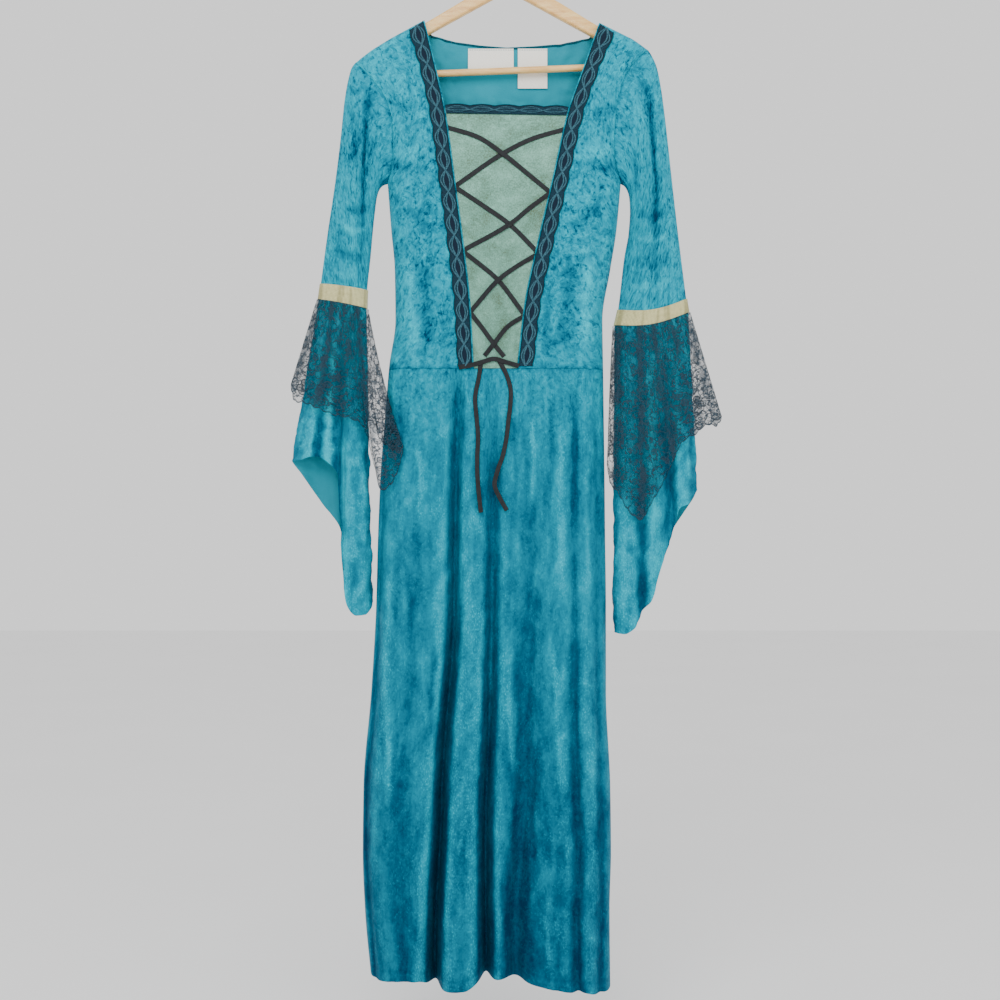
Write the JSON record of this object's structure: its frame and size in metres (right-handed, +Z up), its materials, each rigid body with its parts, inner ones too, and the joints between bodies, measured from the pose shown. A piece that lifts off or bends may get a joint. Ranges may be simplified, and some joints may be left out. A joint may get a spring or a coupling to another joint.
{
  "type": "medieval gown on a hanger",
  "caption": "Long velvet gown with a laced bodice, edged neckline, lace-trimmed bell sleeves and a folded skirt, hung on a wooden hanger by its steel hook.",
  "frame": {"origin": "inside top of the hanger's hook, where it rests on a rail", "axes": "+Z up, the gown's front faces -Y, +X to the right of someone who looks at the front; left and right in node names are that viewer's"},
  "size_m": [0.6129, 0.127, 1.5056],
  "materials": {
    "velvet": "crushed velvet pile, shining where it is pressed",
    "insert_cloth": "pale green and gold metallic cloth",
    "trim": "matte embroidered trim, dark blue",
    "lace": "open black lace, see-through",
    "ribbon": "flat woven ribbon, near black",
    "band": "pale gold braid",
    "label": "plain white woven tape",
    "wood": "clear-varnished pale wood",
    "steel": "bright wire"
  },
  "bodies": {
    "root": {"hanger_hook": "steel", "hanger_arm_left": "wood", "hanger_arm_right": "wood", "hanger_bar": "wood", "bodice_front_left": "velvet", "bodice_front_right": "velvet", "bodice_back": "velvet", "insert_panel": "insert_cloth", "skirt_front": "velvet", "skirt_back": "velvet", "sleeve_left": "velvet", "sleeve_right": "velvet", "bell_left": "velvet", "bell_right": "velvet", "lace_left_front": "lace", "lace_left_back": "lace", "lace_right_front": "lace", "lace_right_back": "lace", "band_left": "band", "band_right": "band", "trim_left": "trim", "trim_right": "trim", "trim_insert": "trim", "ribbon_waist": "ribbon", "ribbon_tail_left": "ribbon", "ribbon_tail_right": "ribbon", "label_wide": "label", "label_care": "label", "lacing_one": "ribbon", "lacing_two": "ribbon", "lacing_three": "ribbon", "lacing_four": "ribbon", "lacing_five": "ribbon", "lacing_six": "ribbon", "lacing_seven": "ribbon", "lacing_eight": "ribbon"}
  },
  "joints": []
}
